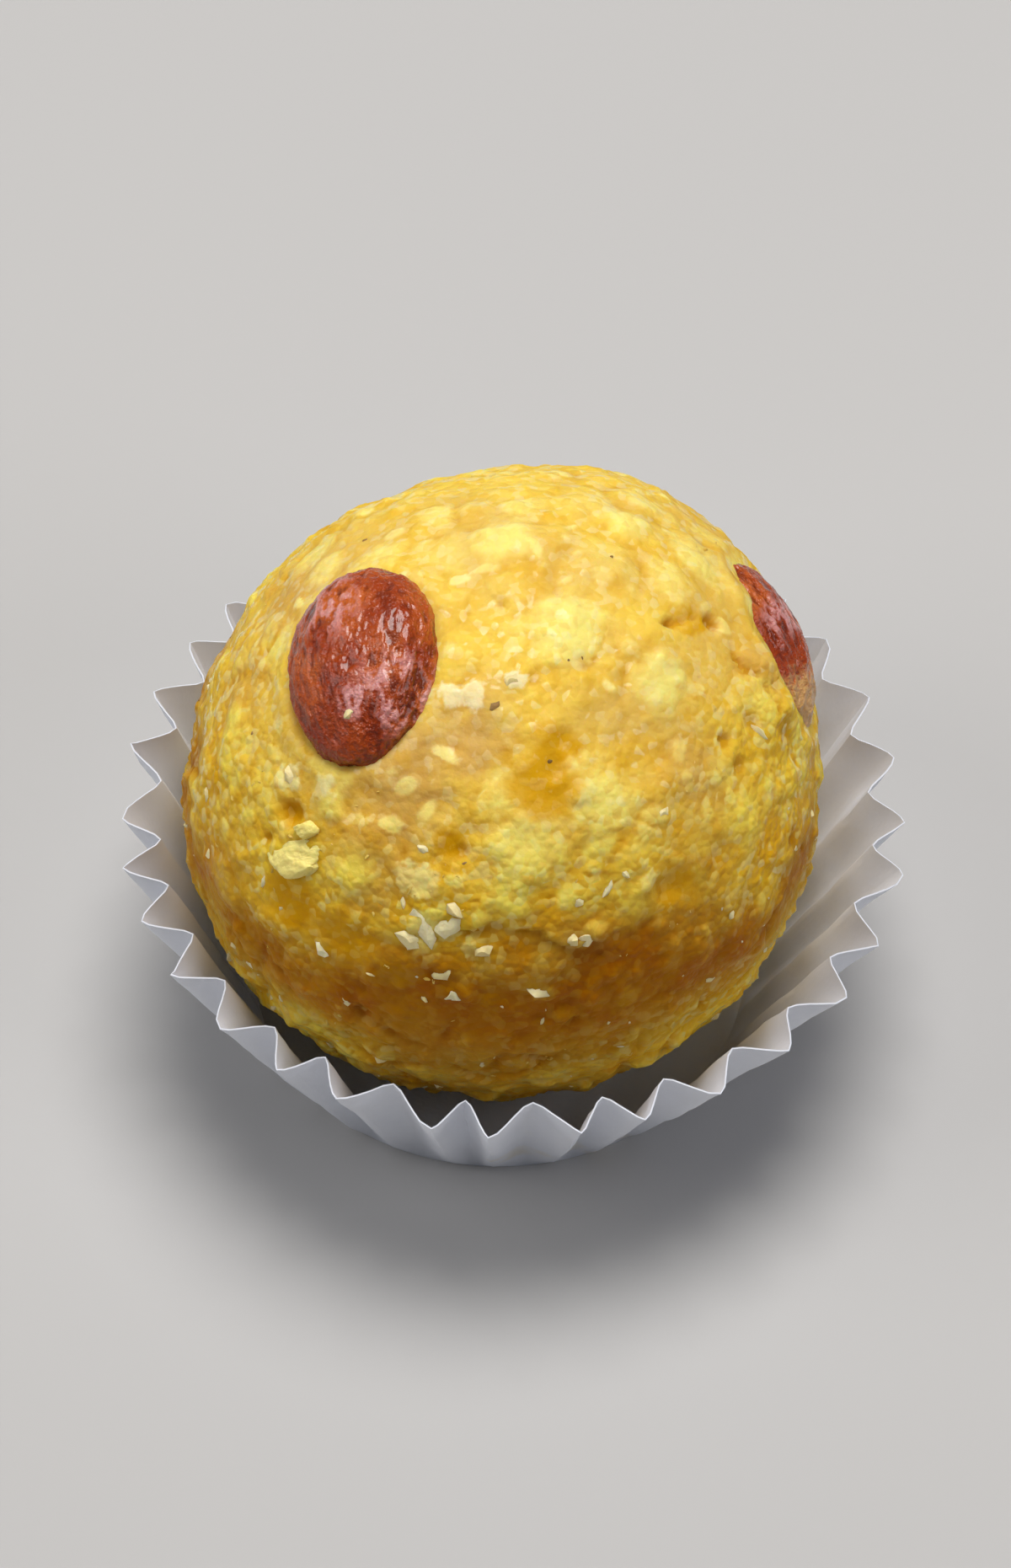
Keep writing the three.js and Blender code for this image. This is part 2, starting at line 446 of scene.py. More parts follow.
# Softboxes, all aimed at the ladoo: name, place, size, power, colour
LAMPS = (
    ("key", (0.04, 0.16, 0.75), 0.45, 5.3, (1, 0.99, 0.975)),
    ("fill", (-0.6, -0.08, 0.46), 0.5, 1.4, (1, 1, 1)),
    ("glint", (0.5, -0.3, 0.5), 0.35, 0.85, (0.94, 0.95, 1)),
)
LAMP_AIM = Vector((0, 0, 0.02))
AIR_COLOUR = (0.9, 0.93, 1, 1)
AIR_STRENGTH = 0.07
FLOOR_RADIUS = 1.6
FLOOR_SIDES = 96


# Draws and places


def seeded_draws(seed):
    """Repeatable draws between 0 and 1."""
    state = seed
    while True:
        state = (state * DRAW_FACTOR + DRAW_SHIFT) % DRAW_SPAN
        yield state / DRAW_SPAN


def between(span, share):
    return span[0] + (span[1] - span[0]) * share


def smooth_step(span, values):
    """Share of the way through a span, eased at both ends."""
    share = np.clip((values - span[0]) / (span[1] - span[0]), 0, 1)
    return share * share * (3 - 2 * share)


def greatest(layers):
    """The greatest of several layers of values at each point, and at least 0."""
    return reduce(np.maximum, layers, 0.0)


def at_height(height, spin):
    """Direction from its height, -1 to 1, and its turn round Z."""
    reach = math.sqrt(1 - height * height)
    return reach * math.cos(spin), reach * math.sin(spin), height


def towards(from_top, round_z):
    """Direction from degrees down from the top and degrees round from +X."""
    slope, spin = math.radians(from_top), math.radians(round_z)
    flat = math.sin(slope)
    return Vector((flat * math.cos(spin), flat * math.sin(spin), math.cos(slope)))


def seen_at(right, up):
    """Direction of a spot so far right of and above the ball's middle in the photograph."""
    ahead = math.sqrt(max(0.0, 1 - (right * right + up * up) / BALL_RADIUS**2))
    sine, cosine = math.sin(CAMERA_RISE), math.cos(CAMERA_RISE)
    up /= BALL_RADIUS
    return Vector(
        (right / BALL_RADIUS, up * sine - ahead * cosine, up * cosine + ahead * sine)
    ).normalized()


def seen_up(ways):
    """How far above the ball's middle each direction on the ball lies in the photograph."""
    rise = ways[:, 1] * math.sin(CAMERA_RISE) + ways[:, 2] * math.cos(CAMERA_RISE)
    return rise * BALL_RADIUS


def ways_of(points):
    """Directions of points on the ball, as if it were round."""
    plain = (points - MIDDLE) / HALF_SIZES
    return plain / np.linalg.norm(plain, axis=1)[:, None]


def on_ball(way, out):
    """Point over the ball's plain form in one direction."""
    return BALL_MIDDLE + Vector([way[i] * (HALF_SIZES[i] + out) for i in range(3)])


def around_ball(draw, top, bottom):
    """A direction drawn evenly over the ball between two heights from -1 to 1."""
    height = between((bottom, top), next(draw))
    return Vector(at_height(height, TURN * next(draw)))


def angles_to(ways, way):
    return np.arccos(np.clip(ways @ np.array(way), -1, 1))


def reaches_from(ways, way, reach):
    """How far directions lie from another one over the ball, counted in reaches."""
    return angles_to(ways, way) * BALL_RADIUS / reach


def ragged(ways, fineness, shift):
    """Uneven values from about -1 to 1 over the ball."""
    return np.array(
        [
            noise.noise(Vector((x * fineness + shift, y * fineness, z * fineness)))
            for x, y, z in ways
        ]
    )


def torn(ways, layers):
    """Layers of uneven values added up, for torn outlines."""
    return sum(ragged(ways, fineness, shift) * strength for fineness, shift, strength in layers)


def wandered(ways, fineness, shifts, reach):
    """Directions pushed about, so that the lines between them wander."""
    return ways + np.stack([ragged(ways, fineness, shift) for shift in shifts], 1) * reach


def raisin_ways(from_top, round_z, turn):
    """Directions along, across and out of a raisin that lies flat on the ball."""
    out = towards(from_top, round_z)
    uphill = (Vector((0, 0, 1)) - out * out.z).normalized()
    along = Matrix.Rotation(math.radians(turn), 3, out) @ uphill
    return np.array((along, out.cross(along), out))


# Modelling by hand


def deselect():
    bpy.ops.object.select_all(action="DESELECT")


def pick(*pieces):
    """Selects these objects alone and makes the last one active."""
    deselect()
    for piece in pieces:
        piece.select_set(True)
    bpy.context.view_layer.objects.active = pieces[-1]


def named(name):
    """Names the active object and its mesh."""
    piece = bpy.context.object
    piece.name = name
    piece.data.name = name
    return piece


def finish_with(piece, kind, **settings):
    """Adds one modifier and applies it."""
    pick(piece)
    modifier = piece.modifiers.new(kind.title(), kind)
    for name, value in settings.items():
        setattr(modifier, name, value)
    bpy.ops.object.modifier_apply(modifier=modifier.name)


def skin_over(piece, voxel, rounds):
    """One closed skin over all that a piece holds, smoothed."""
    finish_with(piece, "REMESH", mode="VOXEL", voxel_size=voxel)
    finish_with(piece, "SMOOTH", factor=SMOOTHING_SHARE, iterations=rounds)


def points_of(piece, what="co"):
    points = np.empty(len(piece.data.vertices) * 3)
    piece.data.vertices.foreach_get(what, points)
    return points.reshape(-1, 3)


def move_points(piece, points):
    piece.data.vertices.foreach_set("co", np.ascontiguousarray(points).ravel())
    piece.data.update()


def push_about(piece, shift, layers):
    """Pushes the points of a piece about by noise: fineness and reach of each layer."""
    moved = []
    for point in map(Vector, points_of(piece)):
        pushes = (noise.noise_vector(point * fine + shift) * reach for fine, reach in layers)
        moved.append(sum(pushes, point))
    move_points(piece, np.array(moved))


def mark(piece, **marks):
    """Writes named values for each point, for the material to read."""
    for name, values in marks.items():
        layer = piece.data.attributes.new(name, "FLOAT", "POINT")
        layer.data.foreach_set("value", np.asarray(values, dtype=np.float32))


def copies(name, pattern, seats):
    """One mesh of many copies of a pattern, one for each seat."""
    points = np.c_[points_of(pattern), np.ones(len(pattern.data.vertices))]
    faces = np.array([tuple(face.vertices) for face in pattern.data.polygons])
    placed = np.concatenate([(points @ np.array(seat).T)[:, :3] for seat in seats])
    steps = np.arange(len(seats)) * len(points)
    all_faces = (faces[None] + steps[:, None, None]).reshape(-1, faces.shape[1])
    mesh = bpy.data.meshes.new(name)
    mesh.from_pydata(placed.tolist(), [], all_faces.tolist())
    piece = bpy.data.objects.new(name, mesh)
    bpy.context.scene.collection.objects.link(piece)
    return piece


def seat_on(way, point, spin, sizes):
    """Place of a copy: its Z along a direction, turned by spin, at its sizes."""
    turn = way.to_track_quat("Z", "Y").to_matrix().to_4x4()
    spun = Matrix.Rotation(spin, 4, "Z")
    return Matrix.Translation(point) @ turn @ spun @ Matrix.Diagonal((*sizes, 1))


def done_with(piece):
    mesh = piece.data
    bpy.data.objects.remove(piece)
    bpy.data.meshes.remove(mesh)


def plain_ball(name, cuts, radius):
    """A ball of even triangles, to be shaped into a piece."""
    deselect()
    bpy.ops.mesh.primitive_ico_sphere_add(subdivisions=cuts, radius=radius)
    return named(name)


def lump(name, cuts, dent):
    """A fried drop or grain: a small ball, dented on one side."""
    piece = plain_ball(name, cuts, 1)
    points = points_of(piece)
    side = points @ np.array(DENT_SIDE)
    move_points(piece, points * (1 - dent * np.clip(side, 0, 1) ** 2)[:, None])
    return piece


# Boondi ball


def swell_at(ways):
    """Broad swells and hollows left by the hand that rolled the ball."""
    total = np.zeros(len(ways))
    for from_top, round_z, rise in SWELLS:
        off = angles_to(ways, towards(from_top, round_z)) / SWELL_REACH
        total += rise * np.exp(-(off**2))
    return total


def boondi_drops():
    """Direction, radius and rise of each drop, drawn as in the solids."""
    draw = seeded_draws(DROP_SEED)
    stray = math.sqrt(4 * math.pi / DROP_COUNT) * DROP_STRAY * 2
    golden = math.pi * (3 - math.sqrt(5))
    drops = []
    for i in range(DROP_COUNT):
        even = at_height(1 - 2 * (i + 0.5) / DROP_COUNT, golden * i)
        way = Vector([value + stray * (next(draw) - 0.5) for value in even]).normalized()
        radius = between(DROP_RADIUS, next(draw))
        drops.append((way, radius, between(DROP_RISE, next(draw))))
    return drops


DROPS = boondi_drops()


def drop_rise_at(ways):
    """How far the tallest drop stands out of the ball in each direction."""
    return greatest(
        rise * (1 - reaches_from(ways, way, radius) ** 2) for way, radius, rise in DROPS
    )


def ball_core():
    """The paste that holds the drops: a ball with the swells of the rolling hand."""
    piece = plain_ball("ball_core", CORE_CUTS, BALL_RADIUS)
    ways = points_of(piece) / BALL_RADIUS
    out = swell_at(ways) - MEAN_RISE
    move_points(piece, MIDDLE + ways * (HALF_SIZES + out[:, None]))
    return piece


def drop_seats():
    draw = seeded_draws(DROP_SEED + 1)
    seats = []
    for way, radius, rise in DROPS:
        swell = swell_at(np.array([way]))[0]
        thick = radius * between(DROP_THICK, next(draw))
        sizes = (radius * between(DROP_LONG, next(draw)), radius * DROP_WIDE, thick)
        point = on_ball(way, swell + rise - MEAN_RISE - thick)
        seats.append(seat_on(way, point, TURN * next(draw), sizes))
    return seats


def lump_seats():
    draw = seeded_draws(LUMP_SEED)
    ways = [at_height(2 * next(draw) - 1, TURN * next(draw)) for _ in range(LUMP_COUNT)]
    levels = swell_at(np.array(ways)) + drop_rise_at(np.array(ways)) - MEAN_RISE
    seats = []
    for way, level in zip(ways, levels):
        radius = between(LUMP_RADIUS, next(draw) ** 2)
        point = on_ball(way, level - radius * between(LUMP_SUNK, next(draw)))
        sizes = [radius * between(LUMP_STRETCH, next(draw)) for _ in range(3)]
        seats.append(seat_on(Vector(way), point, SPIN * next(draw), sizes))
    return seats


def pit_list():
    """The pits that show, and smaller ones drawn over the rest."""
    pits = [(seen_at(right, up), radius, depth) for right, up, radius, depth in PITS]
    draw = seeded_draws(PIT_SEED)
    for _ in range(SMALL_PITS):
        way = towards(PIT_LOWEST * next(draw) ** PIT_CROWDING, 360 * next(draw))
        radius = between(SMALL_PIT_RADIUS, next(draw) ** 2)
        pits.append((way, radius, radius * between(SMALL_PIT_DEPTH, next(draw))))
    return pits


def pit_loss(ways):
    rough = torn(ways, PIT_EDGE)
    return greatest(
        depth * np.exp(-np.clip(reaches_from(ways, way, radius) + rough, 0, FAR) ** 3)
        for way, radius, depth in pit_list()
    )


def spots_at(ways, spots, rough):
    """1 in the middle of the nearest spot, falling to 0 round its uneven edge."""
    return greatest(
        1 - smooth_step(SPOT_EDGE, reaches_from(ways, seen_at(right, up), reach) + rough)
        for right, up, reach in spots
    )


def lip_gain(ways):
    return greatest(
        rise * np.exp(-(reaches_from(ways, seen_at(right, up), reach) ** 2))
        for right, up, reach, rise in PASTE_LIPS
    )


def crack_loss(ways):
    """A broken line of narrow gaps that wanders from spot to spot."""
    away = np.full(len(ways), 1.0)
    spots = [np.array(seen_at(*spot)) for spot in CRACK]
    moved = wandered(ways, *CRACK_WANDER)
    for start, end in zip(spots, spots[1:]):
        run = end - start
        share = np.clip((moved - start) @ run / (run @ run), 0, 1)
        gap = np.linalg.norm(moved - start - share[:, None] * run, axis=1)
        away = np.minimum(away, gap)
    dashes = smooth_step(CRACK_DASHES, torn(ways, DASH_EDGE))
    return CRACK_DEPTH * dashes * np.exp(-((away * BALL_RADIUS / CRACK_WIDTH) ** 2))


def ledge_loss(ways):
    """Paste set back under a ragged edge, less and less further down."""
    right = ways[:, 0] * BALL_RADIUS
    facing = ways[:, 2] * math.sin(CAMERA_RISE) - ways[:, 1] * math.cos(CAMERA_RISE) > 0
    under = LEDGE_UP + LEDGE_SLOPE * right + torn(ways, LEDGE_EDGE) - seen_up(ways)
    span = smooth_step(LEDGE_START, right) * (1 - smooth_step(LEDGE_END, right))
    fade = np.exp(-np.clip(under, 0, None) / LEDGE_FADE)
    return LEDGE_DEPTH * smooth_step((0, LEDGE_LIP), under) * fade * span * facing


def step_loss(ways):
    """Paste pressed in above a ragged edge, less and less higher up."""
    off = reaches_from(ways, seen_at(*STEP_SPOT), STEP_REACH)
    above = seen_up(ways) - STEP_SPOT[1] + torn(ways, STEP_EDGE)
    fade = np.exp(-np.clip(above, 0, None) / STEP_FADE)
    near = 1 - smooth_step(STEP_SIDES, off)
    return STEP_DEPTH * smooth_step((0, STEP_LIP), above) * fade * near


def crumbly_at(ways):
    """Small where the hand pressed the ball smooth, 1 where it is left crumbly, lower down."""
    low = smooth_step(CRUMBLY_HEIGHTS, torn(ways, CRUMBLY_EDGE) - ways[:, 2])
    return between(CRUMBLY_SHARE, low)


def even_out(points, links, rounds):
    """Points moved to the middle of their neighbours, again and again."""
    count = np.bincount(links.ravel(), minlength=len(points))[:, None]
    for _ in range(rounds):
        total = np.zeros_like(points)
        for axis in range(3):
            for here, there in (links.T, links.T[::-1]):
                total[:, axis] += np.bincount(here, points[there, axis], len(points))
        points = total / count
    return points


def plain_reach(ways):
    """Distance from the ball's middle to its plain form with the swells."""
    return np.linalg.norm(ways * HALF_SIZES, axis=1) + swell_at(ways)


def granules(ways):
    """Small fried granules packed side by side: how far each rises, and a tint for each."""
    rises = np.empty(len(ways))
    tints = np.empty(len(ways))
    for i, way in enumerate(ways * (BALL_RADIUS / GRANULE)):
        spot = Vector(way)
        spot += noise.noise_vector(spot * GRANULE_BEND) * GRANULE_STRAY
        gaps, middles = noise.voronoi(spot)
        tints[i] = noise.cell(middles[0] * TINT_STEP)
        dome = 1 - min(1.0, gaps[0] / GRANULE_WIDE) ** 2
        inside = min(1.0, (gaps[1] - gaps[0]) * GRANULE_SEAM)
        rises[i] = dome * between(GRANULE_SHARE, tints[i]) * inside
    return rises, tints


def press(ball):
    """Flattens the tops of the drops, as the rolling hand does, least where it is crumbly."""
    points = points_of(ball)
    ways = ways_of(points)
    reach = np.linalg.norm(points - MIDDLE, axis=1)
    rise = np.clip(reach - plain_reach(ways) + MEAN_RISE, -DEEPEST_GAP, None)
    limit = between(PRESSED_RISE, crumbly_at(ways))
    pressed = np.where(rise > 0, limit * np.tanh(rise / limit), rise)
    move_points(ball, points + ways * (pressed - rise)[:, None])


def settled(points, ways):
    """Paste smoothed down round each raisin, so that the raisin's whole edge shows."""
    off = points - MIDDLE
    before = np.linalg.norm(off, axis=1)
    reach = before
    for from_top, round_z, turn, long, wide, *_ in RAISINS.values():
        along, across, out = raisin_ways(from_top, round_z, turn)
        share = np.hypot(off @ along / (long / 2), off @ across / (wide / 2))
        near = (1 - smooth_step(SETTLED_EDGE, share)) * (off @ out > 0)
        rim = RIM_RISE * np.exp(-(((share - RIM_PLACE) / RIM_WIDTH) ** 2))
        target = plain_reach(ways) - SETTLED_DROP + rim
        reach = reach + (target - reach) * near
    return MIDDLE + off * (reach / before)[:, None]


def packed_drops(ways):
    """Share out from the middle of the nearest drop, how much further the next one is, a tint."""
    nearest = np.full(len(ways), FAR)
    second = np.full(len(ways), FAR)
    tint = np.zeros(len(ways))
    draw = seeded_draws(DROP_SEED + 2)
    moved = wandered(ways, *DROP_WANDER)
    moved /= np.linalg.norm(moved, axis=1)[:, None]
    for way, radius, _ in DROPS:
        off = reaches_from(moved, way, radius * between(DROP_SHOWN, next(draw)))
        closer = off < nearest
        second = np.where(closer, nearest, np.minimum(second, off))
        nearest = np.where(closer, off, nearest)
        tint = np.where(closer, next(draw), tint)
    return nearest, second - nearest, tint


def paste_relief(size, detail):
    texture = bpy.data.textures.new("paste", "CLOUDS")
    texture.noise_scale = size
    texture.noise_depth = detail
    return texture


def packed_ball():
    """Drops and lumps joined with the paste under one skin, then pressed and made uneven."""
    drop = lump("drop", DROP_CUTS, DROP_DENT)
    bit = lump("bit", LUMP_CUTS, LUMP_DENT)
    drops = copies("drops", drop, drop_seats())
    bits = copies("bits", bit, lump_seats())
    pick(drops, bits, ball_core())
    bpy.ops.object.join()
    ball = named("boondi_ladoo_ball")
    done_with(drop)
    done_with(bit)
    skin_over(ball, BALL_VOXEL, BALL_SMOOTHING)
    press(ball)
    for size, detail, height in PASTE_RELIEF:
        finish_with(
            ball,
            "DISPLACE",
            texture=paste_relief(size, detail),
            texture_coords="LOCAL",
            strength=height,
            mid_level=0.5,
        )
    return ball


def boondi_ball():
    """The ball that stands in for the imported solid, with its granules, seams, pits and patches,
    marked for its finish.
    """
    ball = packed_ball()
    points = points_of(ball)
    ways = ways_of(points)
    crumbly = crumbly_at(ways)
    rough = torn(ways, PATCH_EDGE)
    pale = spots_at(ways, PALE_DROPS, rough * PALE_ROUGH)
    sugary = spots_at(ways, SUGARY_PATCHES, rough * SUGARY_ROUGH)
    nearest, gap, tint = packed_drops(ways)
    seam = 1 - smooth_step(SEAM_GAP, gap)
    seam *= smooth_step(SEAM_OPEN, torn(ways, SEAM_EDGE)) * between(SEAM_SHARE, crumbly)
    loss = pit_loss(ways) + crack_loss(ways) + ledge_loss(ways) + step_loss(ways)
    loss = np.maximum(loss, seam * SEAM_DEPTH)
    rises, tints = granules(ways)

    points += ways * (rises * between(GRANULE_RISE, crumbly))[:, None]
    points = settled(points, ways)
    gain = pale * PALE_RISE + sugary * SUGARY_RISE + lip_gain(ways)
    points += ways * (gain - loss)[:, None]
    points[:, 2] = np.maximum(points[:, 2], FOOT_LEVEL)
    move_points(ball, points)

    links = np.array([tuple(edge.vertices) for edge in ball.data.edges])
    sunk = even_out(points, links, HOLLOW_ROUNDS) - points
    hollow = (sunk * points_of(ball, "normal")).sum(1)
    mark(
        ball,
        granule=rises,
        granule_tint=tints,
        syrup=spots_at(ways, SYRUP_PATCHES, rough),
        dry=spots_at(ways, DRY_PATCHES, rough),
        pale=pale,
        sugary=sugary,
        hollow=np.clip(hollow / FULL_HOLLOW, -1, 1),
        drop_edge=nearest,
        drop_gap=np.clip(gap, 0, 1),
        seam=seam,
        drop_tint=tint,
        lost=np.clip(loss / FULL_LOSS, 0, 1),
    )
    pick(ball)
    bpy.ops.object.shade_smooth()
    return ball


# Raisins


def patches_at(points, patches):
    """1 in the middle of the nearest patch in the photograph, falling to 0 round its edge."""
    off = points - MIDDLE
    height = seen_up(off / BALL_RADIUS)
    return greatest(
        1 - smooth_step(SKIN_PATCH_EDGE, np.hypot(off[:, 0] - right, height - up) / reach)
        for right, up, reach in patches
    )


def creases(points, along, across, shift):
    """Creases of the skin, finer across the raisin than along it, from about -2 to 2."""
    height = np.array(
        [
            noise.ridged_multi_fractal(
                Vector((x * along + shift, y * across, z * across)), *RIDGE_RULE
            )
            for x, y, z in points
        ]
    )
    even = (height - height.mean()) / height.std()
    return np.clip(even, -WRINKLE_LIMIT, WRINKLE_LIMIT)


def raisin(name, from_top, round_z, turn, long, wide, thick, sunk, smeared):
    """A plump raisin with lengthwise folds and fine wrinkles, set flat on the ball."""
    piece = plain_ball(name + "_skin", RAISIN_CUTS, 1)
    ways = points_of(piece)
    lengthwise = ways[:, 0]
    around = FOLD_COUNT * np.arctan2(ways[:, 2], ways[:, 1]) + FOLD_TWIST * lengthwise
    fold = 1 - FOLD_DEPTH * (1 - lengthwise**2) * (0.5 + 0.5 * np.cos(around))
    slim = fold * (1 + RAISIN_TAPER * lengthwise)
    points = np.stack(
        (
            lengthwise * long / 2,
            ways[:, 1] * slim * wide / 2,
            ways[:, 2] * slim * thick / 2,
        ),
        1,
    )
    wrinkle = sum(
        strength * creases(points, along, across, shift)
        for (strength, along, across), shift in zip(WRINKLES, (from_top, round_z, turn))
    )
    dents = ragged(ways, DENT_FINENESS, from_top) * DENT_DEPTH
    points += ways * (wrinkle * WRINKLE_RISE + dents - SKIN_BACK)[:, None]

    turned = raisin_ways(from_top, round_z, turn)
    level = BALL_RADIUS + swell_at(turned[2:])[0] - sunk
    points = points @ turned + MIDDLE + turned[2] * level
    move_points(piece, points)
    mark(
        piece,
        wrinkle=wrinkle,
        bloom=patches_at(points, PAINTED_GLINT_PATCHES),
        dark_end=patches_at(points, SHADED_ENDS),
        smear=np.clip(-smeared * lengthwise - SMEAR_START, 0, 1) * SMEAR_STRENGTH,
    )
    pick(piece)
    bpy.ops.object.shade_smooth()
    return piece


# Paper case


def flute_spots():
    """Place, ridge and groove of each flute, drawn as in the solids."""
    draw = seeded_draws(CASE_SEED)
    spots = []
    for flute in range(FLUTES):
        place = TURN * (flute + FLUTE_STRAY * 2 * (next(draw) - 0.5)) / FLUTES
        ridge = between(RIDGE_SHARE, next(draw))
        spots.append((place, ridge, between(GROOVE_SHARE, next(draw))))
    return spots


def rounded_zigzag(step):
    """1 on the ridge, -1 in the groove, with nearly flat flanks and rounded folds."""
    return math.asin(FOLD_SHARPNESS * math.cos(TURN * step)) / math.asin(FOLD_SHARPNESS)


def case_point(column, up, spots):
    """Point of the fluted wall, from its column round the case and its share up the wall."""
    flute = int(column // FLUTE_COLUMNS)
    step = column / FLUTE_COLUMNS - flute
    place, ridge, groove = spots[flute % FLUTES]
    next_place, next_ridge, _ = spots[(flute + 1) % FLUTES]
    if next_place < place:
        next_place += TURN
    angle = place + (next_place - place) * step
    ridge = ridge if step < 0.5 else next_ridge
    swing = rounded_zigzag(step)
    swing *= ridge if swing > 0 else groove
    flare = math.radians(CASE_FLARE + FLARE_LEAN * math.cos(angle - FLARE_SIDE))
    slope = CASE_WALL * up
    mean = CASE_BASE_RADIUS + slope * math.sin(flare)
    pitch = TURN * mean / FLUTES
    flat = CASE_BASE_RADIUS + slope
    depth = pitch / 2 * math.sqrt(max(0.0, (flat / mean) ** 2 - 1))
    radius = mean + depth / 2 * swing
    along, upward, shift = LEAN_STEPS
    angle += FLUTE_LEAN * up * noise.noise(Vector((flute * along, up * upward, shift)))
    point = Vector((radius * math.cos(angle), radius * math.sin(angle), slope * math.cos(flare)))
    creased = [noise.noise_vector(point * fineness) * reach for fineness, reach in CREASES]
    return point + sum(creased, Vector()) * min(1.0, up * CREASE_START)


def paper_case():
    """A round of paper pressed into flutes: base, wall drawn up row by row, then folded."""
    columns = FLUTES * FLUTE_COLUMNS
    deselect()
    bpy.ops.mesh.primitive_circle_add(
        vertices=columns, radius=CASE_BASE_RADIUS, fill_type="NGON"
    )
    case = named("paper_case_fluted")
    bpy.ops.object.mode_set(mode="EDIT")
    bpy.ops.mesh.select_mode(type="EDGE")
    bpy.ops.mesh.select_all(action="DESELECT")
    bpy.ops.mesh.select_non_manifold()
    for _ in range(WALL_ROWS):
        bpy.ops.mesh.extrude_edges_move(
            TRANSFORM_OT_translate={"value": (0, 0, CASE_WALL / WALL_ROWS)}
        )
    bpy.ops.object.mode_set(mode="OBJECT")
    spots = flute_spots()
    points = points_of(case)
    heights = points[:, 2] / CASE_WALL
    turns = np.arctan2(points[:, 1], points[:, 0]) % TURN
    around = np.rint(turns / TURN * columns) % columns
    placed = [case_point(column, max(0.0, up), spots) for column, up in zip(around, heights)]
    move_points(case, np.array(placed))
    mark(case, up_wall=heights)

    bpy.ops.object.mode_set(mode="EDIT")
    bpy.ops.mesh.select_mode(type="FACE")
    bpy.ops.mesh.select_all(action="DESELECT")
    bpy.ops.object.mode_set(mode="OBJECT")
    base = max(case.data.polygons, key=lambda face: len(face.vertices))
    base.select = True
    bpy.ops.object.mode_set(mode="EDIT")
    for inset in BASE_RINGS:
        bpy.ops.mesh.inset(thickness=inset)
    bpy.ops.mesh.select_all(action="SELECT")
    bpy.ops.mesh.normals_make_consistent(inside=False)
    bpy.ops.object.mode_set(mode="OBJECT")
    finish_with(case, "SOLIDIFY", thickness=PAPER, offset=-1)
    pick(case)
    bpy.ops.object.shade_smooth_by_angle(angle=PAPER_EDGE)
    return case


# Loose bits on the ball


def broken_bit(number):
    """A broken bit: an uneven lump with a few sides broken off flat."""
    piece = lump(f"bit_{number}", BIT_CUTS, BIT_DENT)
    push_about(piece, Vector((number * BIT_SHIFT[0], *BIT_SHIFT[1:])), BIT_PUSHES)
    points = points_of(piece)
    draw = seeded_draws(BIT_SEED + number)
    for _ in range(BIT_BREAKS):
        side = np.array(around_ball(draw, *BIT_BREAK_BAND))
        over = np.clip(points @ side - between(BIT_BREAK_PLACE, next(draw)), 0, None)
        points -= over[:, None] * side * BIT_BREAK_FLAT
    move_points(piece, points)
    return piece


def gathered(name, pieces):
    """Several meshes joined into one piece."""
    pick(*pieces[::-1])
    bpy.ops.object.join()
    piece = named(name)
    pick(piece)
    bpy.ops.object.shade_smooth_by_angle(angle=BIT_EDGE)
    return piece


def surfaces_of(pieces):
    graph = bpy.context.evaluated_depsgraph_get()
    return [BVHTree.FromObject(piece, graph) for piece in pieces]


def outermost(trees, way):
    """Where the outermost of several surfaces lies in one direction, and which way it faces."""
    hits = [tree.ray_cast(BALL_MIDDLE + way * RAY_START, -way) for tree in trees]
    hit = max((h for h in hits if h[0]), key=lambda h: (h[0] - BALL_MIDDLE).length)
    return hit[0], hit[1]


def is_clear(way):
    """Whether a direction is clear of both raisins and of the pits that show."""
    for from_top, round_z, _, long, *_ in RAISINS.values():
        if way.angle(towards(from_top, round_z)) * BALL_RADIUS < long * RAISIN_CLEAR:
            return False
    return all(
        way.angle(seen_at(right, up)) * BALL_RADIUS > radius + PIT_CLEAR
        for right, up, radius, _ in PITS
    )


def strewn(name, pieces, shown, suits, seed, count, band, size, few, flat, sunk):
    """One mesh of bits laid on pieces: those that show, and more drawn where they suit."""
    draw = seeded_draws(seed)
    spots = [(seen_at(right, up), across) for right, up, across in shown]
    for _ in range(count):
        way = around_ball(draw, *band)
        across = between(size, next(draw) ** few)
        if is_clear(way) and suits(way):
            spots.append((way, across))
    trees = surfaces_of(pieces)
    seats = [[] for _ in range(BIT_KINDS)]
    for turn, (way, across) in enumerate(spots):
        hit, normal = outermost(trees, way)
        sizes = [across * between(BIT_STRETCH, next(draw)) for _ in range(3)]
        sizes[2] *= flat
        seat = seat_on(normal, hit - normal * sizes[2] * sunk, SPIN * next(draw), sizes)
        seats[turn % BIT_KINDS].append(seat)
    kinds = []
    for number, places in enumerate(seats):
        pattern = broken_bit(number)
        kind = copies(name, pattern, places)
        tints = [next(draw) for _ in places]
        mark(kind, tint=np.repeat(tints, len(pattern.data.vertices)))
        done_with(pattern)
        kinds.append(kind)
    return gathered(name, kinds)


def loose_crumbs(ball, raisins):
    """Crumbs stuck anywhere on the ball, and one on a raisin."""
    return strewn("loose_crumbs", (ball, *raisins), SHOWN_CRUMBS, lambda way: True, *CRUMBS)


def fine_grains(ball):
    """Fine grains half sunk in the paste, in clusters."""

    def clustered(way):
        return noise.noise(way * CLUSTER_FINENESS) > CLUSTER_LEVEL

    return strewn("fine_grains", (ball,), (), clustered, *GRAINS)


def cardamom_specks(ball):
    """Bits of ground cardamom: those that show, and more at the back."""

    def at_back(way):
        return way.y > SPECK_FRONT

    return strewn("cardamom_specks", (ball,), SHOWN_SPECKS, at_back, *SPECKS)


